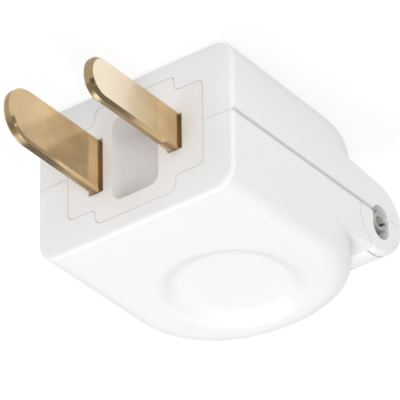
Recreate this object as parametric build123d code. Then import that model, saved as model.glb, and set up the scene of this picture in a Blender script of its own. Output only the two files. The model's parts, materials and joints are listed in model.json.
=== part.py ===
from build123d import *
from math import cos, radians, sin, tan
import os

# A rewireable two-blade plug. The blades point along -Y, the cord leaves along +Y, and +Z is the
# cover side. The origin is at the middle of the front face, on the parting plane of the two half
# shells. Sizes are in mm.

# Grip: the thick front part of the body. Its large faces lean in towards the cord, and the two
# tapers are in degrees
body_height = 22.4
cover_taper = 1.1
base_taper = 1.6
grip_length = 34.1
grip_arc_overrun = 4.0
grip_shoulder_radius = 13.0
grip_edge_radius = 3.0
front_edge_radius = 0.6

# Shell walls and the seam between the halves
side_wall = 1.8
front_wall = 2.0
roof_wall = 2.6
seam_gap = 0.05
seam_groove_height = 0.7
seam_groove_depth = 0.4

# Thumb dish in each large face
dish_setback = 13.7
dish_floor_radius = 7.5
dish_rim_radius = 9.3
dish_depth = 1.1
dish_soft_radius = 2.6

# Tail: the thinner back part, with a round end and faces that widen towards the grip
tail_setback = 2.9
tail_z = 0.15
tail_rim = 0.9
tail_taper = 6.0
tail_edge_radius = 1.0

# Hinge: barrel and outer cheeks on the base, knuckles on the cover
hinge_setback = 2.65
hinge_z = 1.1
hinge_radius = 4.4
barrel_width = 18.8
cheek_thickness = 1.5
hinge_side_gap = 0.2
hinge_round_gap = 0.1
hinge_web = 1.2
cover_back_gap = 1.2
pin_radius = 1.5
pin_bore_radius = 0.8
pin_slit = 0.4
pin_end_bevel = 0.25
pin_seat_depth = 3.8
pin_recess = 0.2
pin_turn_clearance = 0.06
pin_press_clearance = 0.01
pin_window_gap = 0.15
pin_window_stretch = 1.7
pin_window_rise = 0.2

# Cord outlet
cord_z = 0.4
cord_bore_radius = 3.5
cord_bore_mouth = 0.8

# Blades, to the polarised flat-blade pattern
blade_spacing = 12.7
blade_thickness = 1.52
blade_length = 18.2
wide_blade_width = 8.0
narrow_blade_width = 6.25
wide_blade_bevel = 0.3
narrow_blade_bevel = 0.45
narrow_neck_depth = 0.5
narrow_neck_length = 2.2
narrow_neck_slope = 1.6
shoulder_height = 1.2
shoulder_length = 1.5

# Blade carrier: the stepped insert in the front face
carrier_wide = 21.7
carrier_wide_height = 12.8
carrier_tall = 17.4
carrier_tall_width = 12.8
carrier_step_radius = 0.9
carrier_depth = 7.4
carrier_clearance = 0.05
carrier_roof_gap = 0.25
pocket_side_wall = 1.89
pocket_height = 12.8
pocket_floor = 1.8
pocket_corner_radius = 1.6
pocket_scoop_radius = 3.0
flange_thickness = 1.3
flange_top = -0.3
flange_side_gap = 0.5
flange_rib_gap = 0.1
flange_rib_lap = 0.3
slot_clearance = 0.06
slot_mouth_gap = 0.4
slot_mouth_depth = 1.0
keeper_thickness = 1.4
keeper_gap = 0.05
keeper_margin = 0.3
flange_rib_thickness = 1.1
flange_rib_top = -1.0

# Screw terminals
terminal_gap = 0.25
terminal_wall_gap = 0.47
terminal_tab_length = 7.4
terminal_tab_width = 6.3
terminal_tab_top = -2.6
terminal_web_top = 2.4
terminal_bend_radius = 0.5
plate_size = 5.7
plate_thickness = 1.0
plate_rest_gap = 0.1
plate_side_gap = 0.12
washer_thickness = 0.6
washer_radius = 2.45
washer_split = 0.4
washer_split_turn = 35
plate_corner_radius = 0.6
plate_groove_width = 1.0
plate_groove_depth = 0.3
seat_gap = 0.02
screw_radius = 1.45
screw_hole_clearance = 0.05
screw_free_clearance = 0.2
screw_head_radius = 2.75
screw_head_height = 1.8
screw_slot_width = 0.8
screw_slot_depth = 1.0
terminal_screw_reach = 3.0

# Cord grip
clamp_setback = 5.65
clamp_length = 4.6
clamp_head_gap = 0.25
clamp_ear_radius = 3.1
clamp_arch_radius = 3.1
clamp_arch_wall = 1.7
clamp_ear_thickness = 1.8
clamp_ear_rise = 0.3
clamp_tooth_depth = 0.3
clamp_tooth_width = 0.7
clamp_tooth_root = 0.1
clamp_tooth_start = 1.7
clamp_corner_radius = 1.5
cradle_drop = 1.0
cradle_wall = 2.4
nut_size = 5.4
nut_thickness = 2.0
nut_pocket_clearance = 0.1
nut_depth_gap = 0.1
nut_bevel = 0.5
boss_wall = 1.1
clamp_screw_tip_gap = 0.4

# Inside of the shells
rib_sink = 0.5
divider_thickness = 1.4
divider_top = 2.2
divider_gap = 0.35
tab_rib_thickness = 1.1
tab_rib_gap = 0.05

# Snap tongues that hold the cover shut
tongue_y = 6.8
tongue_length = 3.4
tongue_thickness = 1.0
tongue_drop = 3.0
tongue_gap = 0.25
tongue_root = 1.0
tongue_ridge = 0.1
tongue_ridge_height = 0.8
tongue_ridge_below_seam = 1.6

# Values that follow from the sizes above. The two terminals, side by side, set how wide the body is
half_height = body_height / 2
blade_x = blade_spacing / 2
terminal_offset = blade_thickness / 2 + terminal_bend_radius + plate_side_gap + plate_size / 2
terminal_x = blade_x + terminal_offset
inner_half_width = terminal_x + plate_size / 2 + terminal_wall_gap
half_width = inner_half_width + side_wall
body_width = 2 * half_width
grip_arc_radius = half_width + grip_arc_overrun
grip_arc_y = grip_length - grip_arc_radius
dish_centre_y = grip_length - dish_setback
tail_y = grip_length - tail_setback
tail_radius = hinge_radius + tail_rim
floor_z = -half_height + roof_wall
roof_z = half_height - roof_wall
barrel_half = barrel_width / 2
knuckle_inner = barrel_half + hinge_side_gap
cheek_inner = half_width - cheek_thickness
knuckle_outer = cheek_inner - hinge_side_gap
hinge_y = grip_length - hinge_setback
hinge_clear_radius = hinge_radius + hinge_round_gap
pin_window_radius = pin_radius + pin_window_gap
cavity_end = hinge_y - hinge_clear_radius - hinge_web
tab_bottom = terminal_tab_top - blade_thickness
plate_bottom = terminal_tab_top + plate_rest_gap
washer_bottom = plate_bottom + plate_thickness + seat_gap
terminal_head_z = washer_bottom + washer_thickness + seat_gap
clamp_y = cavity_end - clamp_setback
clamp_screw_x = clamp_arch_radius + clamp_arch_wall + clamp_head_gap + screw_head_radius
cradle_top = cord_z - cradle_drop
cradle_bottom = cord_z - clamp_arch_radius - cradle_wall
clamp_ear_underside = cord_z + clamp_ear_rise
clamp_head_z = clamp_ear_underside + clamp_ear_thickness + seat_gap
nut_top = cradle_bottom - nut_depth_gap
keeper_y = carrier_depth + keeper_gap
terminal_y = keeper_y + keeper_thickness + terminal_gap + terminal_tab_length / 2
pocket_width = blade_spacing - blade_thickness - 2 * pocket_side_wall
pocket_depth = carrier_depth - pocket_floor
pocket_floor_radius = min(pocket_scoop_radius, 0.45 * pocket_width)
narrow_root_width = narrow_blade_width - 2 * narrow_neck_depth
link_half_height = narrow_root_width / 2


def cylinder_x(radius, x_low, x_high, y=hinge_y, z=hinge_z):
    """A round bar across the plug, centred on the hinge line unless told otherwise."""
    bar = Rot(0, 90, 0) * Cylinder(radius, x_high - x_low)
    return Pos((x_low + x_high) / 2, y, z) * bar


def cylinder_y(radius, y_low, y_high, x=0.0, z=cord_z):
    """A round bar along the plug, centred on the cord unless told otherwise."""
    return Pos(x, (y_low + y_high) / 2, z) * (Rot(90, 0, 0) * Cylinder(radius, y_high - y_low))


def cylinder_z(radius, z_low, z_high, x, y):
    """An upright round bar."""
    return Pos(x, y, (z_low + z_high) / 2) * Cylinder(radius, z_high - z_low)


def block(x_low, x_high, y_low, y_high, z_low, z_high):
    """A box given by its two corners."""
    centre = Pos((x_low + x_high) / 2, (y_low + y_high) / 2, (z_low + z_high) / 2)
    return centre * Box(x_high - x_low, y_high - y_low, z_high - z_low)


def both_sides(solid):
    """The solid and its mirror image across the middle of the plug."""
    return solid + mirror(solid, about=Plane.YZ)


def face_height(taper, y):
    """How far a leaning large face is from the parting plane at y."""
    return half_height - y * tan(radians(taper))


def grip_side():
    """Side view of the grip in Y and Z, from the front face to well behind its back."""
    reach = 2 * grip_length
    return make_face(Polyline(
        (0, -half_height),
        (reach, -face_height(base_taper, reach)),
        (reach, face_height(cover_taper, reach)),
        (0, half_height),
        close=True,
    ))


def grip_outline(inset):
    """Plan of the grip moved inwards by inset: straight sides, and an arc across the back."""
    half = half_width - inset
    radius = grip_arc_radius - inset
    front = Pos(0, grip_arc_y / 2) * Rectangle(2 * half, grip_arc_y)
    back = Pos(0, grip_arc_y) * Circle(radius)
    strip = Pos(0, grip_length / 2) * Rectangle(2 * half, grip_length)
    plan = (front + back) & strip
    shoulders = [v for v in plan.vertices() if v.Y > grip_arc_y + 1 and abs(v.X) > half - 0.01]
    return fillet(shoulders, grip_shoulder_radius - inset)


def dish_cutter(taper):
    """The shallow round dish in an upper face with this taper, turned about its own axis."""
    above = 2.0
    profile = Polyline(
        (0, -dish_depth),
        (dish_floor_radius, -dish_depth),
        (dish_rim_radius, 0),
        (dish_rim_radius + 2, 0),
        (dish_rim_radius + 2, above),
        (0, above),
        close=True,
    )
    face = make_face(profile)
    bends = (dish_floor_radius, dish_rim_radius)
    soft = [v for v in face.vertices() if min(abs(v.X - bend) for bend in bends) < 0.01]
    face = fillet(soft, dish_soft_radius)
    turned = revolve(Plane.XZ * face, Axis.Z, 360)
    return Pos(0, dish_centre_y, face_height(taper, dish_centre_y)) * (Rot(-taper, 0, 0) * turned)


def tail_outline():
    """Side view of the tail in Y and Z: a round end, and straight faces tangent to it."""
    tilt = radians(tail_taper)
    touch_y = tail_y + tail_radius * sin(tilt)
    touch_z = tail_radius * cos(tilt)
    root_z = touch_z + (touch_y - grip_arc_y) * tan(tilt)
    wedge = make_face(Polyline(
        (grip_arc_y, -root_z),
        (touch_y, -touch_z),
        (touch_y, touch_z),
        (grip_arc_y, root_z),
        close=True,
    ))
    return Pos(0, tail_z) * (wedge + Pos(tail_y, 0) * Circle(tail_radius))


def tail_solid():
    """The tail across the whole width of the plug, with both outer rims rounded."""
    tail = extrude(Plane.YZ * tail_outline(), half_width, both=True)
    rims = [e for e in tail.edges() if abs(abs(e.center().X) - half_width) < 1e-4]
    return fillet(rims, tail_edge_radius)


def outer_body(tail_end):
    """The outside of the plug before it is parted, with the tail's two lobes up to tail_end."""
    grip = Pos(0, 0, -half_height) * extrude(grip_outline(0), body_height)
    grip &= extrude(Plane.YZ * grip_side(), half_width, both=True)
    by_height = grip.faces().sort_by(Axis.Z)
    large_faces = (by_height[0], by_height[-1])
    long_edges = [e for face in large_faces for e in face.edges() if e.center().Y > 0.5]
    grip = fillet(long_edges, grip_edge_radius)
    front_loop = [e for e in grip.edges() if abs(e.center().Y) < 1e-4]
    grip = fillet(front_loop, front_edge_radius)
    lobe = tail_solid() & block(barrel_half, body_width, 0, tail_end, -half_height, half_height)
    body = grip + both_sides(lobe)
    return body - dish_cutter(cover_taper) - mirror(dish_cutter(base_taper), about=Plane.XY)


def seam_groove():
    """The V along both sides, where the halves meet."""
    outside = half_width + seam_groove_depth
    outline = make_face(Polyline(
        (half_width - seam_groove_depth, 0),
        (outside, seam_groove_height),
        (outside, -seam_groove_height),
        close=True,
    ))
    return both_sides(along_y(outline, front_edge_radius, hinge_y + tail_radius))


def cavity(z_low, z_high, y_high):
    """The hollow behind the front wall, with the plan of the grip less its wall."""
    plan = Pos(0, 0, z_low) * extrude(grip_outline(side_wall), z_high - z_low)
    return plan & block(-body_width, body_width, front_wall, y_high, z_low, z_high)


def carrier_outline(growth):
    """The stepped cross of the blade carrier, grown all round by growth."""
    wide = Rectangle(carrier_wide + 2 * growth, carrier_wide_height + 2 * growth)
    tall = Rectangle(carrier_tall_width + 2 * growth, carrier_tall + 2 * growth)
    cross = wide + tall
    return fillet(cross.vertices(), carrier_step_radius)


def along_y(sketch, y_low, y_high):
    """A flat outline in X and Z, carried from y_low to y_high."""
    upright = Plane((0, y_low, 0), x_dir=(1, 0, 0), z_dir=(0, -1, 0))
    return extrude(upright * sketch, -(y_high - y_low))


def carrier_opening():
    """The hole that both front walls leave for the carrier."""
    return along_y(carrier_outline(carrier_clearance), -1, front_wall + 1)


def pin_window():
    """The tall hole in one outer cheek, through which the end of the pin is seen."""
    slot = SlotCenterToCenter(pin_window_stretch, 2 * pin_window_radius, 90)
    slot = Plane.YZ * (Pos(hinge_y, hinge_z + pin_window_rise) * slot)
    return Pos(cheek_inner - 1, 0, 0) * extrude(slot, cheek_thickness + 2)


def base_shell():
    """The half with the hinge barrel, the terminal supports and the cord grip bosses."""
    body = outer_body(2 * grip_length)
    body &= block(-body_width, body_width, -1, 2 * grip_length, -body_height, -seam_gap / 2)
    body += cylinder_x(hinge_radius, -barrel_half, barrel_half)
    body -= cavity(floor_z, half_height, cavity_end)
    body -= both_sides(cylinder_x(hinge_clear_radius, barrel_half, cheek_inner))
    cheek = cylinder_x(hinge_radius, cheek_inner, half_width) & tail_solid()
    body += both_sides(cheek)
    body -= both_sides(pin_window())
    pin_seat = cylinder_x(pin_radius + pin_press_clearance, barrel_half - pin_seat_depth, barrel_half + 1)
    body -= both_sides(pin_seat)
    body -= carrier_opening()
    body -= seam_groove()
    body += base_inside()
    body -= cylinder_y(cord_bore_radius, clamp_y + clamp_length / 2, hinge_y + tail_radius)
    flare = Rot(-90, 0, 0) * Cone(cord_bore_radius, cord_bore_radius + cord_bore_mouth, cord_bore_mouth)
    return body - Pos(0, hinge_y + hinge_radius - cord_bore_mouth / 2, cord_z) * flare


def base_inside():
    """Ribs and bosses that stand on the floor of the base."""
    rib_foot = floor_z - rib_sink
    wall_foot = inner_half_width + rib_sink
    flange_back = front_wall + flange_thickness + flange_rib_gap
    hold_x = carrier_wide / 2 + flange_rib_lap
    hold_back = flange_back + flange_rib_thickness
    hold = block(hold_x, wall_foot, flange_back, hold_back, rib_foot, flange_rib_top)
    inside = both_sides(hold)
    divider_start = keeper_y + keeper_thickness + divider_gap
    divider_end = clamp_y - clamp_length / 2 - divider_gap
    divider_half = divider_thickness / 2
    inside += block(-divider_half, divider_half, divider_start, divider_end, rib_foot, divider_top)
    rib_top = tab_bottom - tab_rib_gap
    for side_y in (-1, 1):
        middle = terminal_y + side_y * (terminal_tab_length / 2 - tab_rib_thickness)
        rib = block(blade_x - blade_thickness / 2, wall_foot, middle - tab_rib_thickness / 2,
                    middle + tab_rib_thickness / 2, rib_foot, rib_top)
        inside += both_sides(rib)
    pocket = nut_size + 2 * nut_pocket_clearance
    boss = block(clamp_screw_x - pocket / 2 - boss_wall, clamp_screw_x + pocket / 2 + boss_wall,
                 clamp_y - pocket / 2, clamp_y + pocket / 2, rib_foot, nut_top)
    boss -= block(clamp_screw_x - pocket / 2, clamp_screw_x + pocket / 2, clamp_y - pocket,
                  clamp_y + pocket, nut_top - nut_thickness, nut_top + 1)
    boss -= cylinder_z(screw_radius + screw_free_clearance, floor_z, nut_top, clamp_screw_x, clamp_y)
    inside += both_sides(boss)
    ridge_z = -tongue_ridge_below_seam
    ridge = Box(2 * tongue_ridge, tongue_length, tongue_ridge_height)
    return inside + both_sides(Pos(inner_half_width, tongue_y, ridge_z) * ridge)


def cover_shell():
    """The half that swings open, with the two outer knuckles of the hinge."""
    body = outer_body(hinge_y - cover_back_gap)
    body &= block(-body_width, body_width, -1, 2 * grip_length, seam_gap / 2, body_height)
    body -= cavity(-1, roof_z, cavity_end)
    inner = cavity(-1, roof_z, 2 * grip_length)
    body -= inner & block(-knuckle_inner, knuckle_inner, 0, 2 * grip_length, -1, roof_z)
    body -= cylinder_x(hinge_clear_radius, -knuckle_inner, knuckle_inner)
    body -= both_sides(cylinder_x(hinge_clear_radius, knuckle_outer, half_width + 1))
    body += both_sides(cylinder_x(hinge_radius, knuckle_inner, knuckle_outer))
    body -= both_sides(cylinder_x(pin_radius + pin_turn_clearance, knuckle_inner - 1, knuckle_outer + 1))
    body -= carrier_opening()
    body -= seam_groove()
    outer_x = inner_half_width - tongue_gap
    low_y = tongue_y - tongue_length / 2
    high_y = tongue_y + tongue_length / 2
    inner_x = outer_x - tongue_thickness
    tongue = block(inner_x, outer_x, low_y, high_y, -tongue_drop, roof_z + rib_sink)
    root = block(inner_x, inner_half_width + rib_sink, low_y, high_y, tongue_root, roof_z + rib_sink)
    return body + both_sides(tongue + root)


def blade_outline(width, y_start, y_end):
    """Side view of a blade from its rounded tip at y_start to y_end, in Y and Z."""
    straight = Pos((y_start + width / 2 + y_end) / 2, 0) * Rectangle(y_end - y_start - width / 2, width)
    tip = Pos(y_start + width / 2, 0) * Circle(width / 2)
    return straight + tip


def blade_neck(width, root_width):
    """What is cut from the upper edge of a blade that is slimmer at its root."""
    run = narrow_neck_slope * width
    outline = make_face(Polyline(
        (-narrow_neck_length, root_width / 2),
        (-narrow_neck_length - run, root_width / 2 + width),
        (carrier_depth, root_width / 2 + width),
        (carrier_depth, root_width / 2),
        close=True,
    ))
    return extrude(Plane.YZ * outline, blade_thickness, both=True)


def blade(width, root_width, bevel):
    """A brass blade at the middle of the plug, with shoulders and a bent terminal tab on its +X side."""
    web_end = terminal_y + terminal_tab_length / 2
    half = blade_thickness / 2
    outside = extrude(Plane.YZ * blade_outline(width, -blade_length, web_end), half, both=True)
    rim = [e for e in outside.edges()
           if abs(abs(e.center().X) - half) < 1e-4 and e.center().Y < web_end - 0.1]
    outside = chamfer(rim, bevel)
    outside &= block(-half, half, -2 * blade_length, carrier_depth, -width, width)
    if root_width < width:
        neck = blade_neck(width, root_width)
        outside -= neck
        outside -= mirror(neck, about=Plane.XY)
    shoulder_half = root_width / 2 + shoulder_height
    shoulder = block(-half, half, carrier_depth - shoulder_length, carrier_depth - seat_gap,
                     -shoulder_half, shoulder_half)
    link_start = carrier_depth - shoulder_length
    link = block(-half, half, link_start, web_end, -link_half_height, link_half_height)
    web_start = terminal_y - terminal_tab_length / 2
    web = block(-half, half, web_start, web_end, tab_bottom, terminal_web_top)
    tab = block(-half, half + terminal_tab_width, web_start, web_end, tab_bottom, terminal_tab_top)
    bend = block(half - 0.01, half + terminal_bend_radius, web_start, web_end, terminal_tab_top - 0.01,
                 terminal_tab_top + terminal_bend_radius)
    bend -= cylinder_y(terminal_bend_radius, 0, 2 * terminal_y, half + terminal_bend_radius,
                       terminal_tab_top + terminal_bend_radius)
    whole = outside + shoulder + link + web + tab + bend
    corner = [e for e in whole.edges()
              if abs(e.center().X + half) < 1e-4 and abs(e.center().Z - tab_bottom) < 1e-4]
    whole = fillet(corner, terminal_bend_radius)
    return whole - cylinder_z(screw_radius + screw_hole_clearance, tab_bottom - 1, terminal_tab_top + 1,
                              terminal_offset, terminal_y)


def wide_blade():
    return Pos(blade_x, 0, 0) * blade(wide_blade_width, wide_blade_width, wide_blade_bevel)


def narrow_blade():
    right = blade(narrow_blade_width, narrow_root_width, narrow_blade_bevel)
    return mirror(Pos(blade_x, 0, 0) * right, about=Plane.YZ)


def blade_slot(width, side, y_low, y_high):
    """Room for one blade through a plastic part."""
    half = blade_thickness / 2 + slot_clearance
    return block(side * blade_x - half, side * blade_x + half, y_low, y_high,
                 -width / 2 - slot_clearance, width / 2 + slot_clearance)


def front_pocket():
    """The recess between the blades: its mouth has round corners, its side walls curve into its floor."""
    mouth = fillet(Rectangle(pocket_width, pocket_height).vertices(), pocket_corner_radius)
    scoop = Pos(0, (pocket_depth - 1) / 2) * Rectangle(pocket_width, pocket_depth + 1)
    inner = [v for v in scoop.vertices() if v.Y > 0]
    scoop = fillet(inner, pocket_floor_radius)
    return along_y(mouth, -1, pocket_depth) & extrude(scoop, pocket_height, both=True)


def blade_carrier():
    """The stepped insert with its pocket, the slots for both blades and the flange that locates it."""
    neck = along_y(carrier_outline(0), 0, front_wall)
    behind = along_y(carrier_outline(0), front_wall, carrier_depth)
    roof = roof_z - carrier_roof_gap
    carrier = neck + (behind & block(-body_width, body_width, 0, carrier_depth, -roof, roof))
    flange_edge = inner_half_width - flange_side_gap
    flange_low = front_wall + seat_gap
    flange = block(-flange_edge, flange_edge, flange_low, flange_low + flange_thickness,
                   floor_z + flange_side_gap, flange_top)
    carrier += flange
    carrier -= front_pocket()
    for side, width in ((1, wide_blade_width), (-1, narrow_root_width)):
        carrier -= blade_slot(width, side, -1, carrier_depth + 1)
        mouth_half = blade_thickness / 2 + slot_mouth_gap
        carrier -= block(side * blade_x - mouth_half, side * blade_x + mouth_half, -1, slot_mouth_depth,
                         -width / 2 - slot_clearance, width / 2 + slot_clearance)
        seat_start = carrier_depth - shoulder_length - slot_clearance
        carrier -= blade_slot(width + 2 * shoulder_height, side, seat_start, carrier_depth + 1)
    return carrier


def blade_keeper():
    """The plate behind the carrier that traps the shoulders of the blades."""
    half_x = carrier_wide / 2 - keeper_margin
    half_z = carrier_wide_height / 2 - keeper_margin
    plate = block(-half_x, half_x, keeper_y, keeper_y + keeper_thickness, -half_z, half_z)
    corners = plate.edges().filter_by(Axis.Y)
    plate = fillet(corners, carrier_step_radius)
    for side in (1, -1):
        plate -= blade_slot(2 * link_half_height, side, 0, keeper_y + keeper_thickness + 1)
    return plate


def slotted_screw(head_z, tip_z, x, y, slot_turn):
    """A pan head screw with a straight slot, standing upright."""
    head = cylinder_z(screw_head_radius, head_z, head_z + screw_head_height, 0, 0)
    rim = [e for e in head.edges() if e.center().Z > head_z + screw_head_height - 1e-4]
    head = chamfer(rim, screw_head_height / 3)
    shank = cylinder_z(screw_radius, tip_z, head_z + 0.1, 0, 0)
    tip = [e for e in shank.edges() if e.center().Z < tip_z + 1e-4]
    shank = chamfer(tip, screw_radius / 3)
    top = head_z + screw_head_height
    slot = block(-screw_head_radius, screw_head_radius, -screw_slot_width / 2, screw_slot_width / 2,
                 top - screw_slot_depth, top + 1)
    return Pos(x, y, 0) * (head + shank - Rot(0, 0, slot_turn) * slot)


def terminal_screw(side, slot_turn):
    tip_z = tab_bottom - terminal_screw_reach
    return slotted_screw(terminal_head_z, tip_z, side * terminal_x, terminal_y, slot_turn)


def wire_plate(side):
    """Square pressure plate with a groove underneath for the wire strands."""
    half = plate_size / 2
    top = plate_bottom + plate_thickness
    plate = block(-half, half, -half, half, plate_bottom, top)
    plate = fillet(plate.edges().filter_by(Axis.Z), plate_corner_radius)
    groove = block(-half - 1, half + 1, -plate_groove_width / 2, plate_groove_width / 2, plate_bottom - 1,
                   plate_bottom + plate_groove_depth)
    plate -= groove
    plate -= cylinder_z(screw_radius + screw_free_clearance, plate_bottom - 1, top + 1, 0, 0)
    return Pos(side * terminal_x, terminal_y, 0) * plate


def lock_washer(side):
    """Split spring washer under a terminal screw's head."""
    top = washer_bottom + washer_thickness
    ring = cylinder_z(washer_radius, washer_bottom, top, 0, 0)
    ring -= cylinder_z(screw_radius + screw_free_clearance, washer_bottom - 1, top + 1, 0, 0)
    split = block(0, washer_radius + 1, -washer_split / 2, washer_split / 2, washer_bottom - 1, top + 1)
    return Pos(side * terminal_x, terminal_y, 0) * (ring - Rot(0, 0, washer_split_turn) * split)


def cord_teeth(arch_radius, shift):
    """Crescent ridges across the cord, cut by the same arch moved by shift."""
    teeth = Part()
    for offset in (-1, 1):
        tooth_y = clamp_y + offset * clamp_length / 4
        teeth += cylinder_y(arch_radius + clamp_tooth_root, tooth_y - clamp_tooth_width / 2,
                            tooth_y + clamp_tooth_width / 2)
    low_y = clamp_y - clamp_length
    high_y = clamp_y + clamp_length
    return teeth - cylinder_y(arch_radius, low_y, high_y, 0, cord_z + shift)


def clamp_screw_holes():
    """Upright holes for the two screws of the cord grip."""
    radius = screw_radius + screw_free_clearance
    return both_sides(cylinder_z(radius, -body_height, body_height, clamp_screw_x, clamp_y))


def cord_clamp():
    """Upper jaw of the cord grip: an arch with two ears and teeth across the cord."""
    low_y = clamp_y - clamp_length / 2
    high_y = clamp_y + clamp_length / 2
    arch = cylinder_y(clamp_arch_radius + clamp_arch_wall, low_y, high_y)
    reach = clamp_screw_x + clamp_ear_radius
    ear_top = clamp_ear_underside + clamp_ear_thickness
    ears = block(-reach, reach, low_y, high_y, clamp_ear_underside, ear_top)
    ears = fillet(ears.edges().filter_by(Axis.Z), clamp_corner_radius)
    jaw = arch + ears
    jaw &= block(-2 * reach, 2 * reach, low_y, high_y, clamp_ear_underside, body_height)
    jaw -= cylinder_y(clamp_arch_radius, low_y - 1, high_y + 1)
    arch_half = clamp_arch_radius
    above = block(-arch_half, arch_half, low_y, high_y, cord_z + clamp_tooth_start, body_height)
    jaw += cord_teeth(clamp_arch_radius, -clamp_tooth_depth) & above
    return jaw - clamp_screw_holes()


def cord_cradle():
    """Lower jaw of the cord grip, with teeth across the cord, standing on the nut bosses."""
    low_y = clamp_y - clamp_length / 2
    high_y = clamp_y + clamp_length / 2
    reach = clamp_screw_x + clamp_ear_radius
    jaw = block(-reach, reach, low_y, high_y, cradle_bottom, cradle_top)
    jaw = fillet(jaw.edges().filter_by(Axis.Z), clamp_corner_radius)
    jaw -= cylinder_y(clamp_arch_radius, low_y - 1, high_y + 1)
    arch_half = clamp_arch_radius
    below = block(-arch_half, arch_half, low_y, high_y, -body_height, cord_z - clamp_tooth_start)
    jaw += cord_teeth(clamp_arch_radius, clamp_tooth_depth) & below
    return jaw - clamp_screw_holes()


def clamp_screw(side, slot_turn):
    tip_z = floor_z + clamp_screw_tip_gap
    return slotted_screw(clamp_head_z, tip_z, side * clamp_screw_x, clamp_y, slot_turn)


def clamp_nut(side):
    """Square nut in its boss."""
    half = nut_size / 2
    low = nut_top - nut_thickness + seat_gap
    nut = block(-half, half, -half, half, low, nut_top)
    nut = chamfer(nut.edges().filter_by(Axis.Z), nut_bevel)
    nut -= cylinder_z(screw_radius + screw_hole_clearance, low - 1, nut_top + 1, 0, 0)
    return Pos(side * clamp_screw_x, clamp_y, 0) * nut


def hinge_pin(side):
    """Hollow spring pin with its slit: pressed into the barrel, and the knuckle turns on it."""
    inner = barrel_half - pin_seat_depth
    outer = half_width - pin_recess
    pin = cylinder_x(pin_radius, inner, outer)
    ends = [e for e in pin.edges() if e.center().X > outer - 1e-4]
    pin = chamfer(ends, pin_end_bevel)
    pin -= cylinder_x(pin_bore_radius, inner - 1, outer + 1)
    slit = block(inner - 1, outer + 1, hinge_y, hinge_y + 2 * pin_radius, hinge_z - pin_slit / 2,
                 hinge_z + pin_slit / 2)
    pin -= slit
    return pin if side > 0 else mirror(pin, about=Plane.YZ)


pieces = {
    "base_shell": base_shell(),
    "cover_shell": cover_shell(),
    "blade_carrier": blade_carrier(),
    "blade_keeper": blade_keeper(),
    "wide_blade": wide_blade(),
    "narrow_blade": narrow_blade(),
    "wide_terminal_screw": terminal_screw(1, 20),
    "narrow_terminal_screw": terminal_screw(-1, -35),
    "wide_wire_plate": wire_plate(1),
    "narrow_wire_plate": wire_plate(-1),
    "wide_lock_washer": lock_washer(1),
    "narrow_lock_washer": lock_washer(-1),
    "cord_cradle": cord_cradle(),
    "cord_clamp": cord_clamp(),
    "cord_clamp_screw_left": clamp_screw(-1, 60),
    "cord_clamp_screw_right": clamp_screw(1, 5),
    "cord_clamp_nut_left": clamp_nut(-1),
    "cord_clamp_nut_right": clamp_nut(1),
    "hinge_pin_left": hinge_pin(-1),
    "hinge_pin_right": hinge_pin(1),
}

os.makedirs("parts", exist_ok=True)
for name, piece in pieces.items():
    export_step(piece, f"parts/{name}.step")
    print(name, round(piece.volume, 2))
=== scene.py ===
# %% [markdown]
# # A rewireable two-blade plug
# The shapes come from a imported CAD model, which stays where it is. This file gives the pieces their
# looks: satin white plastic, rolled brass, plated steel, the light, and the camera. Lengths are in
# metres, +Z is the cover side, the blades point along -Y and the cord leaves along +Y.

# %% Load the frame
import json
import math

import bmesh
import bpy
from mathutils import Matrix, Vector


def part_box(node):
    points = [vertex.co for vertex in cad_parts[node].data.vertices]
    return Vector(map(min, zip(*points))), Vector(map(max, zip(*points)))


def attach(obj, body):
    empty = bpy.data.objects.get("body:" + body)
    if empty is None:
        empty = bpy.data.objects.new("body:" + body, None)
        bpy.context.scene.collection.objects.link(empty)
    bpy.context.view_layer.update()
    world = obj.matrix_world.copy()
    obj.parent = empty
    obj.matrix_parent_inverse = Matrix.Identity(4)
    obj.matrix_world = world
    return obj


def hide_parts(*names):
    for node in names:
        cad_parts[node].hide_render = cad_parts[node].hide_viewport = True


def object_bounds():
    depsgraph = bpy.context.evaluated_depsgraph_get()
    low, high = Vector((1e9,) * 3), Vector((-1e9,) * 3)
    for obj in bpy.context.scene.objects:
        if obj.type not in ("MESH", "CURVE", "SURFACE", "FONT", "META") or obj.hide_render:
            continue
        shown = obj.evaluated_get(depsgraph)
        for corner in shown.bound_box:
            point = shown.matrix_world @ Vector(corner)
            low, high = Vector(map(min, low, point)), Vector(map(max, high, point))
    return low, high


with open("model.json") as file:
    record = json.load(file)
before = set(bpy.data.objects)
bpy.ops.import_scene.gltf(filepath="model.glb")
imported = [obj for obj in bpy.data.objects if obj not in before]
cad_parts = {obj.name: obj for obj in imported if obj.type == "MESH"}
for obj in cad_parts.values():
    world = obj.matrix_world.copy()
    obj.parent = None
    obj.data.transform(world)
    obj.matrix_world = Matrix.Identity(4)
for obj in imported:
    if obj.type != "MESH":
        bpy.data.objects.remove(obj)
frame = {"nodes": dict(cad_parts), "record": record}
cad_low, cad_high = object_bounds()
nodes = frame["nodes"]

# %% [markdown]
# ## Camera
# The view was fitted to the blades, the seam and the outline of the body. It looks down on the cover from
# the front, from far away and with a long lens, and the picture is turned half round, so that the cover
# side is at the bottom.
#
# A camera could be aimed with a Track To constraint, but that keeps the picture upright. Here its three
# axes are worked out from the angles, and the roll turns them about the line of sight.

# %% Camera
AIM = Vector((0.0, 0.010, 0.002))
AZIMUTH = math.radians(-36.967)
ELEVATION = math.radians(33.222)
ROLL = math.radians(179.166)
DISTANCE = 1.0076
SHIFT_RIGHT = -0.002188
SHIFT_UP = 0.000375
SENSOR_WIDTH = 36.0
LENS = 708.6
NEAREST = 0.05
FARTHEST = 20.0

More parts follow.
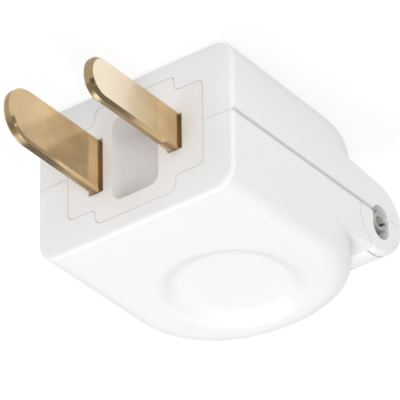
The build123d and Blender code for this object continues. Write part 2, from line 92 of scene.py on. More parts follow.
outward = math.cos(ELEVATION)
back = Vector((math.sin(AZIMUTH) * outward, -math.cos(AZIMUTH) * outward, math.sin(ELEVATION)))
level = Vector((math.cos(AZIMUTH), math.sin(AZIMUTH), 0.0))
upright = back.cross(level)
right = math.cos(ROLL) * level + math.sin(ROLL) * upright
up = -math.sin(ROLL) * level + math.cos(ROLL) * upright

camera_data = bpy.data.cameras.new("camera")
camera_data.sensor_width = SENSOR_WIDTH
camera_data.lens = LENS
camera_data.clip_start = NEAREST
camera_data.clip_end = FARTHEST
camera = bpy.data.objects.new("camera", camera_data)
turn = Matrix((right, up, back)).transposed().to_4x4()
place = AIM + back * DISTANCE - right * SHIFT_RIGHT - up * SHIFT_UP
camera.matrix_world = Matrix.Translation(place) @ turn
bpy.context.scene.collection.objects.link(camera)
bpy.context.scene.camera = camera
print("camera at", [round(v, 4) for v in camera.location])

# %% [markdown]
# ## Small helpers for shader trees
# Every finish here is a small tree of nodes, and they could be placed one by one in the Shader Editor. In
# a script it is shorter to name what is done over and over. Each material starts from an empty tree.
# `add` makes a node and fills in its plain settings, and `join` links two sockets.


# %% Materials, nodes and links
WHITE = (1.0, 1.0, 1.0, 1.0)


def new_material(name):
    material = bpy.data.materials.new(name)
    material.use_nodes = True
    material.node_tree.nodes.clear()
    return material, material.node_tree


def add(tree, kind, values=None, **settings):
    """One node, with its sockets' plain values and its own settings."""
    node = tree.nodes.new(kind)
    for key, value in settings.items():
        setattr(node, key, value)
    for key, value in (values or {}).items():
        node.inputs[key].default_value = value
    return node


def join(tree, source, target):
    tree.links.new(source, target)


# %% [markdown]
# No real surface is the same all over. Noise makes the differences, and it is stretched along an axis
# where the real ones are. It is read in metres from Object coordinates, so that it stays on the piece at
# every pose and has the right size beside the object.


# %% Noise
def stretched(tree, scale):
    """Object coordinates, scaled along each axis."""
    place = add(tree, "ShaderNodeTexCoord")
    mapping = add(tree, "ShaderNodeMapping", {"Scale": scale})
    join(tree, place.outputs["Object"], mapping.inputs["Vector"])
    return mapping.outputs["Vector"]


def noise(tree, scale, detail=3.0, roughness=0.5):
    """Noise with one set of cycles per metre along each axis."""
    texture = add(tree, "ShaderNodeTexNoise", {"Scale": 1.0, "Detail": detail, "Roughness": roughness})
    join(tree, stretched(tree, scale), texture.inputs["Vector"])
    return texture.outputs["Fac"]


def spread(tree, source, low, high, start=0.3, end=0.7):
    """Maps the middle of a noise to the range low to high."""
    limits = {"From Min": start, "From Max": end, "To Min": low, "To Max": high}
    span = add(tree, "ShaderNodeMapRange", limits)
    join(tree, source, span.inputs["Value"])
    return span.outputs["Result"]


# %% [markdown]
# Cut edges and the patches of painted highlight and painted shade each belong to a place. A place is told
# from where a point is and from which way it faces. Each test gives a number from 0 to 1, and their
# product is 1 only where all of them hold.
# A painted mask would do the same, but it would need an image.


# %% Places
def surface_facts(tree):
    """Where a point is, and which way it faces, each as three numbers."""
    spot = add(tree, "ShaderNodeTexCoord")
    where = add(tree, "ShaderNodeSeparateXYZ")
    facing = add(tree, "ShaderNodeSeparateXYZ")
    join(tree, spot.outputs["Object"], where.inputs[0])
    join(tree, spot.outputs["Normal"], facing.inputs[0])
    return where.outputs, facing.outputs


def mapped(tree, source, start, end, low=0.0, high=1.0):
    """A smooth step of one number from low to high."""
    limits = {"From Min": start, "From Max": end, "To Min": low, "To Max": high}
    step = add(tree, "ShaderNodeMapRange", limits, interpolation_type="SMOOTHSTEP")
    join(tree, source, step.inputs["Value"])
    return step.outputs["Result"]


def absolute(tree, source):
    size = add(tree, "ShaderNodeMath", operation="ABSOLUTE")
    join(tree, source, size.inputs[0])
    return size.outputs["Value"]


def product(tree, first, second):
    both = add(tree, "ShaderNodeMath", operation="MULTIPLY")
    join(tree, first, both.inputs[0])
    join(tree, second, both.inputs[1])
    return both.outputs["Value"]


# %% [markdown]
# The last helpers put the numbers to use, to blend colours and to tilt the normal.


# %% Colour and bump
def blend_colour(tree, factor, first, second):
    """A blend of two plain colours."""
    mix = add(tree, "ShaderNodeMix", data_type="RGBA")
    mix.inputs["A"].default_value = (*first, 1.0)
    mix.inputs["B"].default_value = (*second, 1.0)
    join(tree, factor, mix.inputs["Factor"])
    return mix.outputs["Result"]


def mixed(tree, factor, first, colour):
    """A socket's colour, blended towards a plain colour."""
    mix = add(tree, "ShaderNodeMix", data_type="RGBA")
    mix.inputs["B"].default_value = (*colour, 1.0)
    join(tree, factor, mix.inputs["Factor"])
    join(tree, first, mix.inputs["A"])
    return mix.outputs["Result"]


def bumped(tree, height, depth, normal=None):
    """A normal that shows a height, over another normal if there is one."""
    bump = add(tree, "ShaderNodeBump", {"Strength": 1.0, "Distance": depth})
    join(tree, height, bump.inputs["Height"])
    if normal is not None:
        join(tree, normal, bump.inputs["Normal"])
    return bump.outputs["Normal"]


# %% [markdown]
# ## Moulded plastic
# The shells are injection moulded, and the mould's fine spark texture keeps highlights broad and soft. A
# flat white would look like card. Real white plastic varies a little in tone and gloss where it flowed
# into the mould, and light goes a little way into it, which keeps thin edges and the dish bright. The
# insert is moulded from a warmer white, and the jaws of the cord grip from a dull grey.
#
# Where the two halves meet on the sides, a faint grey line is painted into the joint, as far back as the
# hinge pin: painted shade for the shadow in the seam groove. It could be painted into an image, but it is
# only a darker colour close to the joint's level, on faces that look sideways.

# %% Plastic
# Grey of the painted shade in the groove where the halves meet.
JOINT_SHADE_GREY = (0.66, 0.66, 0.655)
JOINT_REACH = 0.0004
SIDE_SKIN = 0.0143
HINGE_Y = 0.03145
HINGE_Z = 0.0011
FLOW_CYCLES = (60.0, 40.0, 60.0)
GLOSS_CYCLES = (300.0, 300.0, 300.0)
SPARK_CYCLES = (6000.0, 6000.0, 6000.0)
FLOW_DARKER = 0.985
GLOSS_RANGE = 0.04


def joint_shade_line(tree):
    """1 in the joint between the halves, where the painted shade of the groove goes, and 0 away from it.
    """
    where, facing = surface_facts(tree)
    level = mapped(tree, absolute(tree, where["Z"]), JOINT_REACH, 0.5 * JOINT_REACH)
    on_skin = mapped(tree, absolute(tree, where["X"]), SIDE_SKIN, SIDE_SKIN + 0.0002)
    sideways = mapped(tree, absolute(tree, facing["X"]), 0.4, 0.6)
    ahead_of_pin = mapped(tree, where["Y"], HINGE_Y, HINGE_Y - 0.0005)
    return product(tree, product(tree, level, ahead_of_pin), product(tree, on_skin, sideways))


def plastic(name, colour, roughness, grain_depth, depth=0.15, reach=0.0008):
    """Moulded plastic. Light gets a share, depth, of its way into it, for about reach metres."""
    material, tree = new_material(name)
    shader = add(tree, "ShaderNodeBsdfPrincipled", {
        "IOR": 1.47,
        "Subsurface Weight": depth,
        "Subsurface Radius": (1.0, 0.95, 0.9),
        "Subsurface Scale": reach,
    })
    output = add(tree, "ShaderNodeOutputMaterial")
    join(tree, shader.outputs["BSDF"], output.inputs["Surface"])
    flow = spread(tree, noise(tree, FLOW_CYCLES), 0.0, 1.0)
    darker = tuple(FLOW_DARKER * c for c in colour)
    even = blend_colour(tree, flow, darker, colour)
    # Painted shade: the grey line in the joint stands for the shadow in the seam groove.
    join(tree, mixed(tree, joint_shade_line(tree), even, JOINT_SHADE_GREY), shader.inputs["Base Color"])
    patches = noise(tree, GLOSS_CYCLES)
    gloss = spread(tree, patches, roughness - GLOSS_RANGE, roughness + GLOSS_RANGE)
    join(tree, gloss, shader.inputs["Roughness"])
    spark = noise(tree, SPARK_CYCLES, detail=4.0)
    join(tree, bumped(tree, spark, grain_depth), shader.inputs["Normal"])
    return material


shell_plastic = plastic("shell_plastic", (0.86, 0.86, 0.865), 0.42, 0.000004)
insert_plastic = plastic("insert_plastic", (0.88, 0.865, 0.86), 0.40, 0.000003, depth=0.3)
jaw_plastic = plastic("jaw_plastic", (0.30, 0.31, 0.32), 0.5, 0.000006, depth=0.0)
print("plastics made")

# %% [markdown]
# ## Brass blades
# The blades are stamped from rolled brass strip. Their flat sides are almost mirrors, and show the plug's
# own face, but the strip is never quite flat, so what they show is bent and cloudy. The cut edges are
# dull and darker, partly in their own colour and partly as painted shade. The narrow blade has a painted
# highlight towards its tip, pale brass, and a painted dark reflection on its bevel there. The wide blade
# has a painted dim reflection at its tip, and a painted shadow on its straight edges, which slide in the
# socket's slot.
#
# The side of a blade is told from its edge by the normal: on a flat side it points along X. The slow
# waves and the fine rolling lines are both bump, because they are far too shallow to change the outline.

# %% Places on the blades
# Along Y, where the narrow tip's painted highlight and painted dark reflection fade in.
NARROW_TIP_FROM = -0.002
NARROW_TIP_TO = -0.016
# Along Y, where the wide tip's painted dim reflection fades in.
DARK_FROM = -0.010
DARK_TO = -0.017
# Along Y, where the painted shadow on the wide blade's edges fades in.
SHADOW_EDGE_FROM = -0.005
SHADOW_EDGE_TO = -0.009
BLADE_FROM_MIDDLE = 0.00635
BETWEEN_BLADES = 0.001
EDGE_RIM = 0.00048
EDGE_MIDDLE = 0.00015


def blade_places(tree):
    """How much a point belongs to each cut edge, or to each patch of painted light or shade, from 0 to 1.
    """
    where, facing = surface_facts(tree)
    sideways = absolute(tree, facing["X"])
    from_middle = add(tree, "ShaderNodeMath", {1: BLADE_FROM_MIDDLE}, operation="SUBTRACT")
    join(tree, absolute(tree, where["X"]), from_middle.inputs[0])
    off_centre = absolute(tree, from_middle.outputs["Value"])
    on_narrow = mapped(tree, where["X"], BETWEEN_BLADES, -BETWEEN_BLADES)
    on_wide = mapped(tree, where["X"], -BETWEEN_BLADES, BETWEEN_BLADES)
    on_edge = mapped(tree, sideways, 0.6, 0.3)
    straight_edge = mapped(tree, absolute(tree, facing["Z"]), 0.85, 0.95)
    out_of_slot = mapped(tree, where["Y"], SHADOW_EDGE_FROM, SHADOW_EDGE_TO)
    # The narrow blade's tip, where the painted highlight and the painted dark reflection go.
    narrow_tip = product(tree, mapped(tree, where["Y"], NARROW_TIP_FROM, NARROW_TIP_TO), on_narrow)
    # Painted shade: an edge is darker along its middle than at its rims, so that it looks rounded.
    edge_shade_profile = mapped(tree, off_centre, EDGE_RIM, EDGE_MIDDLE, 0.35, 1.0)
    return {
        # Painted highlight: the flat sides of the narrow blade are painted pale towards the tip.
        "pale_tip_highlight": product(tree, narrow_tip, mapped(tree, sideways, 0.8, 0.9)),
        # Painted dark reflection on the bevel of the narrow blade's tip.
        "dark_bevel_reflection": product(tree, narrow_tip, mapped(tree, sideways, 0.9, 0.8)),
        # Painted dim reflection: the wide blade's tip is painted darker.
        "dim_tip_reflection": product(tree, mapped(tree, where["Y"], DARK_FROM, DARK_TO), on_wide),
        # Cut edges: dull and darker, with painted shade along their middle.
        "sheared_and_shaded": product(tree, on_edge, edge_shade_profile),
        # Painted shadow on the wide blade's straight edges outside the slot.
        "edge_shadow": product(tree, product(tree, straight_edge, out_of_slot), product(tree, on_edge, on_wide)),
    }


# %% [markdown]
# The colour goes on in layers: first the cloudy brass, then the painted highlight and reflections, the
# darker cut edges and the painted shadow. The roughness is low and uneven, and higher on the cut edges.
# An edge is painted darkest along its middle and paler along its rims, a painted shade that rounds it.

# %% Blade brass
DEEP_BRASS = (0.64, 0.44, 0.215)
LIGHT_BRASS = (0.80, 0.585, 0.33)
# Pale brass of the painted highlight on the narrow tip.
PALE_HIGHLIGHT_BRASS = (0.88, 0.76, 0.59)
# Darker brass of the cut edges: partly their own colour, partly painted shade.
SHEARED_AND_SHADED_BRASS = (0.36, 0.26, 0.15)
# Painted dark reflection on the narrow tip's bevel.
DARK_BEVEL_BRASS = (0.34, 0.265, 0.15)
# Painted dim reflection on the wide tip.
DIM_TIP_BRASS = (0.616, 0.449, 0.254)
# Painted shadow on the wide blade's straight edges.
EDGE_SHADOW_BRASS = (0.21, 0.155, 0.09)
CLOUD_CYCLES = (260.0, 170.0, 260.0)
SHINE_CYCLES = (400.0, 300.0, 400.0)
WAVE_CYCLES = (160.0, 120.0, 160.0)
ROLLING_CYCLES = (5000.0, 150.0, 5000.0)
WAVE_DEPTH = 0.00004
ROLLING_DEPTH = 0.0000005


def brass_for_blades():
    material, tree = new_material("blade_brass")
    shader = add(tree, "ShaderNodeBsdfPrincipled", {"Metallic": 1.0})
    output = add(tree, "ShaderNodeOutputMaterial")
    join(tree, shader.outputs["BSDF"], output.inputs["Surface"])
    places = blade_places(tree)
    clouds = spread(tree, noise(tree, CLOUD_CYCLES, detail=4.0), 0.0, 1.0, 0.36, 0.64)
    colour = blend_colour(tree, clouds, DEEP_BRASS, LIGHT_BRASS)
    # Painted dim reflection, highlight, dark bevel, edge shade and edge shadow, in that order.
    colour = mixed(tree, places["dim_tip_reflection"], colour, DIM_TIP_BRASS)
    colour = mixed(tree, places["pale_tip_highlight"], colour, PALE_HIGHLIGHT_BRASS)
    colour = mixed(tree, places["dark_bevel_reflection"], colour, DARK_BEVEL_BRASS)
    colour = mixed(tree, places["sheared_and_shaded"], colour, SHEARED_AND_SHADED_BRASS)
    colour = mixed(tree, places["edge_shadow"], colour, EDGE_SHADOW_BRASS)
    join(tree, colour, shader.inputs["Base Color"])
    rough = add(tree, "ShaderNodeMath", operation="ADD")
    join(tree, spread(tree, noise(tree, SHINE_CYCLES), 0.10, 0.17), rough.inputs[0])
    join(tree, mapped(tree, places["sheared_and_shaded"], 0.0, 1.0, 0.0, 0.2), rough.inputs[1])
    join(tree, rough.outputs["Value"], shader.inputs["Roughness"])
    waves = bumped(tree, noise(tree, WAVE_CYCLES, detail=1.0), WAVE_DEPTH)
    lines = bumped(tree, noise(tree, ROLLING_CYCLES), ROLLING_DEPTH, waves)
    join(tree, lines, shader.inputs["Normal"])
    return material


blade_brass = brass_for_blades()
print("blade brass made")

# %% [markdown]
# ## Other metals
# The wire plates are brass too, but small and tumbled, so their finish is even. The screws are bright
# plated steel, and the hinge pins are darker spring steel, rolled from strip. One function makes all
# three, because they only differ in colour, gloss and grain. The grain is fine and very shallow, because
# these pieces are a few millimetres across, and a deeper one would look like dirt.


# %% Metals
# Grey of the painted light inside the pin's bore.
BORE_LIT_GREY = (0.50, 0.48, 0.455)
BORE_EDGE = 0.00088
BORE_INSIDE = 0.00082
STAIN_CYCLES = (220.0, 150.0, 220.0)
GRAIN_GLOSS_RANGE = 0.06


def metal(name, bright, dull, roughness, grain, grain_depth):
    """A small metal part, cloudy between two tones, with a grain of so many cycles a metre."""
    material, tree = new_material(name)
    shader = add(tree, "ShaderNodeBsdfPrincipled", {"Metallic": 1.0})
    output = add(tree, "ShaderNodeOutputMaterial")
    join(tree, shader.outputs["BSDF"], output.inputs["Surface"])
    clouds = spread(tree, noise(tree, STAIN_CYCLES, detail=5.0), 0.0, 1.0, 0.35, 0.65)
    join(tree, blend_colour(tree, clouds, bright, dull), shader.inputs["Base Color"])
    grainy = noise(tree, grain, detail=4.0)
    gloss = spread(tree, grainy, roughness - GRAIN_GLOSS_RANGE, roughness + GRAIN_GLOSS_RANGE)
    join(tree, gloss, shader.inputs["Roughness"])
    join(tree, bumped(tree, grainy, grain_depth), shader.inputs["Normal"])
    return material


def light_the_bore(material):
    """Inside the pin's bore the steel is painted a matt, lighter grey: painted light in the dark bore."""
    tree = material.node_tree
    shader = next(node for node in tree.nodes if node.type == "BSDF_PRINCIPLED")
    middle = add(tree, "ShaderNodeVectorMath", {1: (0.0, HINGE_Y, HINGE_Z)}, operation="SUBTRACT")
    across = add(tree, "ShaderNodeVectorMath", {1: (0.0, 1.0, 1.0)}, operation="MULTIPLY")
    distance = add(tree, "ShaderNodeVectorMath", operation="LENGTH")
    join(tree, add(tree, "ShaderNodeTexCoord").outputs["Object"], middle.inputs[0])
    join(tree, middle.outputs["Vector"], across.inputs[0])
    join(tree, across.outputs["Vector"], distance.inputs[0])
    inside = mapped(tree, distance.outputs["Value"], BORE_EDGE, BORE_INSIDE)
    polished = shader.inputs["Base Color"].links[0].from_socket
    # Painted light: inside the bore the steel is a matt, lighter grey than it would render.
    join(tree, mixed(tree, inside, polished, BORE_LIT_GREY), shader.inputs["Base Color"])
    join(tree, mapped(tree, inside, 0.0, 1.0, 1.0, 0.0), shader.inputs["Metallic"])


terminal_brass = metal(
    "terminal_brass",
    bright=(0.84, 0.66, 0.40),
    dull=(0.74, 0.55, 0.32),
    roughness=0.3,
    grain=(1500.0, 1500.0, 1500.0),
    grain_depth=0.0000004,
)
screw_steel = metal(
    "screw_steel",
    bright=(0.70, 0.70, 0.71),
    dull=(0.64, 0.64, 0.66),
    roughness=0.27,
    grain=(1200.0, 1200.0, 1200.0),
    grain_depth=0.0000002,
)
pin_steel = metal(
    "pin_steel",
    bright=(0.50, 0.49, 0.48),
    dull=(0.38, 0.37, 0.36),
    roughness=0.38,
    grain=(900.0, 3000.0, 3000.0),
    grain_depth=0.000003,
)
light_the_bore(pin_steel)

# %% [markdown]
# The CAD record names a material slot for each piece. The pieces keep their meshes and their places, and
# only get the slot's finish.

# %% Finishes on the pieces
SLOTS = {
    "shell_plastic": shell_plastic,
    "insert_plastic": insert_plastic,
    "jaw_plastic": jaw_plastic,
    "blade_brass": blade_brass,
    "terminal_brass": terminal_brass,
    "screw_steel": screw_steel,
    "pin_steel": pin_steel,
}
slot_of = {part["node"]: part["material_slot"] for part in frame["record"]["subparts"]}
for name, piece in nodes.items():
    piece.data.materials.clear()
    piece.data.materials.append(SLOTS[slot_of[name]])
print("materials given to", len(slot_of), "pieces")

# %% [markdown]
# ## Screw threads
# The four screws are ordinary machine screws, with a pan head, a straight slot and a rolled thread. The
# CAD model has their heads and plain shanks, because a thread would cost it thousands of small faces. A
# Screw modifier could turn a small triangle into a thread, but it leaves both ends open.
#
# Geometry Nodes roll the thread from a flat grid instead. Each row of the grid is wrapped once round the
# screw and climbs by one pitch on the way, so that it meets the row one turn further up, and the ridge
# always lies along a row. The rows are stopped at the tip and at the head, where the ridge fades out and
# a last row closes the end.

# %% Helpers for the thread
ROWS_PER_TURN = 8
RIDGE_FROM_TIP = 0.0006
RIDGE_ENDS = 0.0004
RIDGE_FULL = 0.0010


def worked_out(tree, operation, *terms):
    """One Math node. A term is a socket or a plain number."""
    node = add(tree, "ShaderNodeMath", operation=operation)
    for socket, term in zip(node.inputs, terms):
        if isinstance(term, float):
            socket.default_value = term
        else:
            join(tree, term, socket)
    return node.outputs["Value"]


def thread_ridge(tree, given, row, height):
    """How far the ridge stands out at a row, from 0 to 1."""
    wave = worked_out(tree, "PINGPONG", worked_out(tree, "DIVIDE", row, float(ROWS_PER_TURN)), 0.5)
    full = worked_out(tree, "MULTIPLY", wave, 2.0)
    below_head = worked_out(tree, "SUBTRACT", given["Length"], height)
    from_tip = mapped(tree, height, 0.0, RIDGE_FROM_TIP)
    from_head = mapped(tree, below_head, RIDGE_ENDS, RIDGE_FULL)
    return product(tree, full, product(tree, from_tip, from_head))


# %% [markdown]
# The tree works out three numbers for each point of the grid: how far round it goes, how high it lies and
# how far from the axis it stands. The first and the last row stand on the axis, where they close the
# ends, and the point of the screw is a little narrower than the rest.

# %% Thread tree
COLUMNS = 33
POINT_HEIGHT = 0.0005
POINT_SHARE = 0.8


def thread_tree():
    tree = bpy.data.node_groups.new("screw_thread", "GeometryNodeTree")
    for name in ("Crest", "Root", "Pitch", "Length"):
        tree.interface.new_socket(name, in_out="INPUT", socket_type="NodeSocketFloat")
    tree.interface.new_socket("Finish", in_out="INPUT", socket_type="NodeSocketMaterial")
    tree.interface.new_socket("Geometry", in_out="OUTPUT", socket_type="NodeSocketGeometry")
    given = add(tree, "NodeGroupInput").outputs

    turns = worked_out(tree, "DIVIDE", given["Length"], given["Pitch"])
    climbing = worked_out(tree, "MULTIPLY_ADD", turns, float(ROWS_PER_TURN), float(ROWS_PER_TURN + 3))
    rows = worked_out(tree, "CEIL", climbing)
    grid = add(tree, "GeometryNodeMeshGrid", {"Size X": 1.0, "Size Y": 1.0, "Vertices X": COLUMNS})
    join(tree, rows, grid.inputs["Vertices Y"])

    flat = add(tree, "ShaderNodeSeparateXYZ")
    join(tree, add(tree, "GeometryNodeInputPosition").outputs["Position"], flat.inputs[0])
    around = worked_out(tree, "ADD", flat.outputs["X"], 0.5)
    along = worked_out(tree, "ADD", flat.outputs["Y"], 0.5)
    last = worked_out(tree, "SUBTRACT", rows, 1.0)
    number = worked_out(tree, "ROUND", product(tree, along, last))
    row = worked_out(tree, "SUBTRACT", number, 1.0)
    turned = worked_out(tree, "DIVIDE", row, float(ROWS_PER_TURN))
    climbed = worked_out(tree, "ADD", worked_out(tree, "SUBTRACT", turned, 1.0), around)
    lifted = worked_out(tree, "MAXIMUM", product(tree, climbed, given["Pitch"]), 0.0)
    height = worked_out(tree, "MINIMUM", lifted, given["Length"])

    depth = worked_out(tree, "SUBTRACT", given["Crest"], given["Root"])
    ridge = thread_ridge(tree, given, row, height)
    surface = worked_out(tree, "MULTIPLY_ADD", ridge, depth, given["Root"])
    pointed = product(tree, surface, mapped(tree, height, 0.0, POINT_HEIGHT, POINT_SHARE, 1.0))
    not_first = worked_out(tree, "GREATER_THAN", number, 0.5)
    not_last = worked_out(tree, "LESS_THAN", number, worked_out(tree, "SUBTRACT", last, 0.5))
    radius = product(tree, pointed, product(tree, not_first, not_last))

    angle = worked_out(tree, "MULTIPLY", around, math.tau)
    place = add(tree, "ShaderNodeCombineXYZ")
    join(tree, product(tree, worked_out(tree, "COSINE", angle), radius), place.inputs["X"])
    join(tree, product(tree, worked_out(tree, "SINE", angle), radius), place.inputs["Y"])
    join(tree, height, place.inputs["Z"])

    rolled = add(tree, "GeometryNodeSetPosition")
    closed = add(tree, "GeometryNodeMergeByDistance", {"Distance": 0.000001})
    real = add(tree, "GeometryNodeRealizeInstances")
    coated = add(tree, "GeometryNodeSetMaterial")
    end = add(tree, "NodeGroupOutput")
    join(tree, grid.outputs["Mesh"], rolled.inputs["Geometry"])
    join(tree, place.outputs["Vector"], rolled.inputs["Position"])
    join(tree, rolled.outputs["Geometry"], closed.inputs["Geometry"])
    join(tree, closed.outputs["Geometry"], real.inputs["Geometry"])
    join(tree, real.outputs["Geometry"], coated.inputs["Geometry"])
    join(tree, given["Finish"], coated.inputs["Material"])
    join(tree, coated.outputs["Geometry"], end.inputs["Geometry"])
    return tree


screw_thread = thread_tree()
print("thread tree:", len(screw_thread.nodes), "nodes")

# %% [markdown]
# Each screw is then one mesh: the head is cut from a copy of the CAD piece, its underside is closed, and
# the thread starts just inside it. The sizes are those of a common three millimetre screw, which climbs
# half a millimetre in each turn, as its joint in the model does.

# %% Threaded screws
THREAD_CREST = 0.00145
THREAD_ROOT = 0.00117
THREAD_PITCH = 0.0005
HEAD_HEIGHT = 0.0018
INTO_HEAD = 0.0001
SAME_POINT = 0.0000002
SHARP = math.radians(35)


def rolled_thread(length):
    """The thread as a plain mesh, with its tip at the origin."""
    blank = bpy.data.objects.new("blank", bpy.data.meshes.new("blank"))
    bpy.context.scene.collection.objects.link(blank)
    modifier = blank.modifiers.new("thread", "NODES")
    modifier.node_group = screw_thread
    wanted = {
        "Crest": THREAD_CREST,
        "Root": THREAD_ROOT,
        "Pitch": THREAD_PITCH,
        "Length": length,
        "Finish": screw_steel,
    }
    for socket in screw_thread.interface.items_tree:
        if socket.in_out == "INPUT":
            modifier[socket.identifier] = wanted[socket.name]
    finished = blank.evaluated_get(bpy.context.evaluated_depsgraph_get())
    mesh = bpy.data.meshes.new_from_object(finished)
    bpy.data.objects.remove(blank)
    return mesh


def cut_head(node, underside):
    """A copy of the CAD screw without its shank, closed below the head."""
    shape = bmesh.new()
    shape.from_mesh(nodes[node].data)
    bmesh.ops.remove_doubles(shape, verts=shape.verts, dist=SAME_POINT)
    shank = []
    for face in shape.faces:
        lowest = min(corner.co.z for corner in face.verts)
        if lowest < underside - 0.1 * INTO_HEAD:
            shank.append(face)
    bmesh.ops.delete(shape, geom=shank, context="FACES")
    bmesh.ops.holes_fill(shape, edges=[edge for edge in shape.edges if edge.is_boundary])
    return shape


def threaded_screw(node, body):
    low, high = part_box(node)
    underside = high.z - HEAD_HEIGHT
    shape = cut_head(node, underside)
    thread = rolled_thread(underside - low.z + INTO_HEAD)
    thread.transform(Matrix.Translation(((low.x + high.x) / 2, (low.y + high.y) / 2, low.z)))
    shape.from_mesh(thread)
    for face in shape.faces:
        face.smooth = True
    for edge in shape.edges:
        edge.smooth = edge.calc_face_angle(0.0) < SHARP
    open_edges = sum(not edge.is_manifold for edge in shape.edges)
    mesh = bpy.data.meshes.new(node + "_threaded")
    shape.to_mesh(mesh)
    shape.free()
    mesh.materials.clear()
    mesh.materials.append(screw_steel)
    screw = bpy.data.objects.new(node + "_threaded", mesh)
    bpy.context.scene.collection.objects.link(screw)
    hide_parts(node)
    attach(screw, body)
    print(screw.name, len(mesh.polygons), "faces, open edges:", open_edges)


threaded_screw("wide_terminal_screw", "wide_screw")
threaded_screw("narrow_terminal_screw", "narrow_screw")
threaded_screw("cord_clamp_screw_left", "clamp_screw_left")
threaded_screw("cord_clamp_screw_right", "clamp_screw_right")

# %% [markdown]
# ## Light
# The plug lies on a plain white table in a plain room. Strong light would wash the white plastic out, so
# every surface is lit to about its own colour. The room is brightest above, dimmer on the right and
# behind the plug, and dimmest on the left, in front and below. A soft panel over the cover makes the
# dished face the brightest one. Two panels on the left light the front and the pocket between the blades
# from one side, so that the pocket darkens across, and a small one close to the front face gives it its
# gentle fall-off.
#
# The strength of the room in one direction comes from the squares of that direction's parts along the
# axes. They add up to one, so the six walls blend into each other without an edge.

# %% Room
TOWARDS_PLUS = (0.5, 0.5, 0.85)
TOWARDS_MINUS = (0.42, 0.2, 0.2)


def wall_light(tree, direction, strengths, sign):
    """Light from the three walls on one side of each axis."""
    signed = add(tree, "ShaderNodeVectorMath", {1: (sign, sign, sign)}, operation="MULTIPLY")
    facing = add(tree, "ShaderNodeVectorMath", {1: (0.0, 0.0, 0.0)}, operation="MAXIMUM")
    squared = add(tree, "ShaderNodeVectorMath", operation="MULTIPLY")
    summed = add(tree, "ShaderNodeVectorMath", {1: strengths}, operation="DOT_PRODUCT")
    join(tree, direction, signed.inputs[0])
    join(tree, signed.outputs["Vector"], facing.inputs[0])
    join(tree, facing.outputs["Vector"], squared.inputs[0])
    join(tree, facing.outputs["Vector"], squared.inputs[1])
    join(tree, squared.outputs["Vector"], summed.inputs[0])
    return summed.outputs["Value"]


world = bpy.data.worlds.new("room")
bpy.context.scene.world = world
world.use_nodes = True
tree = world.node_tree
tree.nodes.clear()
direction = add(tree, "ShaderNodeTexCoord").outputs["Generated"]
room_strength = add(tree, "ShaderNodeMath", operation="ADD")
join(tree, wall_light(tree, direction, TOWARDS_PLUS, 1.0), room_strength.inputs[0])
join(tree, wall_light(tree, direction, TOWARDS_MINUS, -1.0), room_strength.inputs[1])
room = add(tree, "ShaderNodeBackground")
join(tree, room_strength.outputs["Value"], room.inputs["Strength"])
seen = add(tree, "ShaderNodeBackground", {"Color": WHITE})
ray = add(tree, "ShaderNodeLightPath")
either = add(tree, "ShaderNodeMixShader")
output = add(tree, "ShaderNodeOutputWorld")
join(tree, ray.outputs["Is Camera Ray"], either.inputs["Fac"])
join(tree, room.outputs["Background"], either.inputs[1])
join(tree, seen.outputs["Background"], either.inputs[2])
join(tree, either.outputs["Shader"], output.inputs["Surface"])
print("room strengths:", TOWARDS_PLUS, TOWARDS_MINUS)

# %% [markdown]
# ## Table
# The table is matt white. The camera would still see it as a pale grey, so for the camera and for
# reflections most of its light is its own, and only the rest is what falls on it. That leaves a faint
# soft shadow where the plug lies.

# %% Table
TABLE_HALF = 1.5
OWN_LIGHT = 0.80
BELOW_PLUG = 0.0002
MATT_WHITE = (0.86, 0.86, 0.86, 1.0)
FAINT_WHITE = (0.22, 0.22, 0.22, 1.0)
table_top = cad_low.z - BELOW_PLUG
table_mesh = bpy.data.meshes.new("table")
corners = [(x, y, table_top) for x, y in ((-1, -1), (1, -1), (1, 1), (-1, 1))]
table_mesh.from_pydata([(TABLE_HALF * x, TABLE_HALF * y, z) for x, y, z in corners], [], [(0, 1, 2, 3)])
table_white, tree = new_material("table_white")
matt = add(tree, "ShaderNodeBsdfDiffuse", {"Color": MATT_WHITE})
faint = add(tree, "ShaderNodeBsdfDiffuse", {"Color": FAINT_WHITE})
own = add(tree, "ShaderNodeEmission", {"Color": WHITE, "Strength": OWN_LIGHT})
bright = add(tree, "ShaderNodeAddShader")
ray = add(tree, "ShaderNodeLightPath")
direct = add(tree, "ShaderNodeMath", operation="MAXIMUM")
clear = add(tree, "ShaderNodeMath", operation="MAXIMUM")
either = add(tree, "ShaderNodeMixShader")
output = add(tree, "ShaderNodeOutputMaterial")
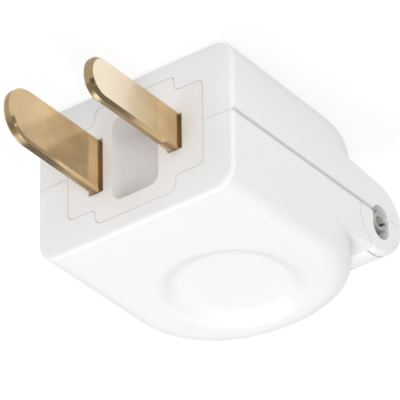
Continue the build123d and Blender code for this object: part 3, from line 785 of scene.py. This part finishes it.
join(tree, ray.outputs["Is Camera Ray"], direct.inputs[0])
join(tree, ray.outputs["Is Glossy Ray"], direct.inputs[1])
join(tree, direct.outputs["Value"], clear.inputs[0])
join(tree, ray.outputs["Is Transmission Ray"], clear.inputs[1])
join(tree, own.outputs["Emission"], bright.inputs[0])
join(tree, faint.outputs["BSDF"], bright.inputs[1])
join(tree, clear.outputs["Value"], either.inputs["Fac"])
join(tree, matt.outputs["BSDF"], either.inputs[1])
join(tree, bright.outputs["Shader"], either.inputs[2])
join(tree, either.outputs["Shader"], output.inputs["Surface"])
table_mesh.materials.append(table_white)
table = bpy.data.objects.new("table", table_mesh)
bpy.context.scene.collection.objects.link(table)
print("table top at", round(table_top, 4))

# %% [markdown]
# ## Panels
# Each panel is a square Area light that is turned to face the plug. Three of them are thirty centimetres
# wide and about half a metre away, so their shadows are soft. A Sun would be simpler, but its light
# doesn't fade with distance, as that of the small panel close to the front does. The low one on the left
# would show as a hard white patch in the bevel of a blade, so it is left out of reflections.

# %% Panels
def panel(name, place, size, watts, mirrored=True):
    """A square light that faces the plug. One that isn't mirrored is left out of reflections."""
    data = bpy.data.lights.new(name, "AREA")
    data.shape = "SQUARE"
    data.size = size
    data.energy = watts
    lamp = bpy.data.objects.new(name, data)
    lamp.location = place
    lamp.rotation_mode = "QUATERNION"
    lamp.rotation_quaternion = (Vector(place) - AIM).to_track_quat("Z", "Y")
    lamp.visible_glossy = mirrored
    bpy.context.scene.collection.objects.link(lamp)


panel("over_cover", (0.18, 0.08, 0.43), size=0.30, watts=0.97)
panel("left_high", (-0.35, -0.30, 0.35), size=0.30, watts=1.10)
panel("left_side", (-0.45, -0.20, 0.22), size=0.30, watts=0.40, mirrored=False)
panel("front_near", (0.05, -0.22, 0.05), size=0.08, watts=0.080)
print("lights made")

# %% [markdown]
# ## Picture settings
# The Standard view transform shows each colour as it is written. Blender's usual one would turn the white
# plastic grey.

# %% View transform
bpy.context.scene.view_settings.view_transform = "Standard"
